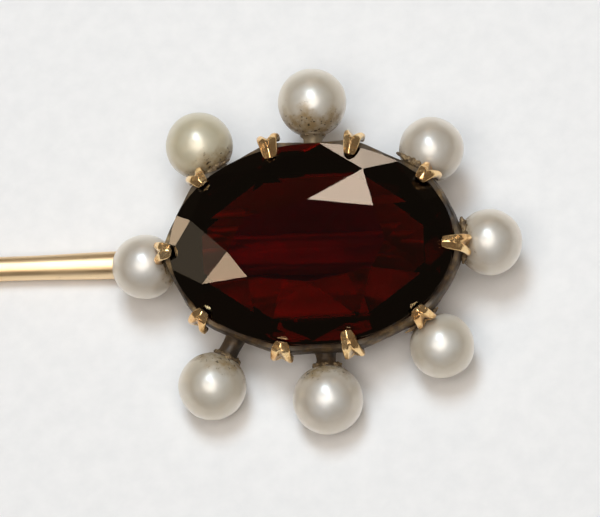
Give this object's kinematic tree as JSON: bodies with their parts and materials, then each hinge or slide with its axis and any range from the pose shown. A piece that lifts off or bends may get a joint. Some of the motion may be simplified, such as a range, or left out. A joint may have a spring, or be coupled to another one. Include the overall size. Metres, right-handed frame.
{
  "type": "hat pin",
  "caption": "Gold dress pin: an oval faceted garnet claw-set in an open-backed collet, ringed by pearls on pegs, on a long plain pointed stem.",
  "frame": {"origin": "on the stem's axis, where the straight shank begins below the neck", "axes": "+X along the stem towards the head, point towards -X; +Z out of the stone's table; +Y across the stem"},
  "size_m": [0.0683, 0.013, 0.0047],
  "materials": {
    "garnet": "polished facets, dark wine red, worn facet edges",
    "claw_gold": "burnished rose-yellow gold with rubbed edges",
    "setting_gold": "aged gold, brown patina with grime in the recesses",
    "stem_gold": "satin pale gold, fine draw lines and handling scratches",
    "pearl": "cream nacre with a soft lustre, brown grime near the peg",
    "cement": "aged shellac cement",
    "solder": "dull hard solder"
  },
  "bodies": {
    "root": {"garnet": "garnet", "collet": "setting_gold", "base_ring": "setting_gold", "pin_stem": "stem_gold", "solder_heel": "solder", "solder_toe": "solder", "claw_1": "claw_gold", "claw_2": "claw_gold", "claw_3": "claw_gold", "claw_4": "claw_gold", "claw_5": "claw_gold", "claw_6": "claw_gold", "claw_7": "claw_gold", "claw_8": "claw_gold", "claw_9": "claw_gold", "claw_10": "claw_gold", "pearl_1": "pearl", "pearl_2": "pearl", "pearl_3": "pearl", "pearl_4": "pearl", "pearl_5": "pearl", "pearl_6": "pearl", "pearl_7": "pearl", "pearl_8": "pearl", "pearl_peg_1": "claw_gold", "pearl_peg_2": "claw_gold", "pearl_peg_3": "claw_gold", "pearl_peg_4": "claw_gold", "pearl_peg_5": "claw_gold", "pearl_peg_6": "claw_gold", "pearl_peg_7": "claw_gold", "pearl_peg_8": "claw_gold", "pearl_cement_1": "cement", "pearl_cement_2": "cement", "pearl_cement_3": "cement", "pearl_cement_4": "cement", "pearl_cement_5": "cement", "pearl_cement_6": "cement", "pearl_cement_7": "cement", "pearl_cement_8": "cement", "pearl_socket_1": "setting_gold", "pearl_socket_2": "setting_gold", "pearl_socket_3": "setting_gold", "pearl_socket_4": "setting_gold", "pearl_socket_5": "setting_gold", "pearl_socket_6": "setting_gold", "pearl_socket_7": "setting_gold", "pearl_socket_8": "setting_gold"}
  },
  "joints": []
}
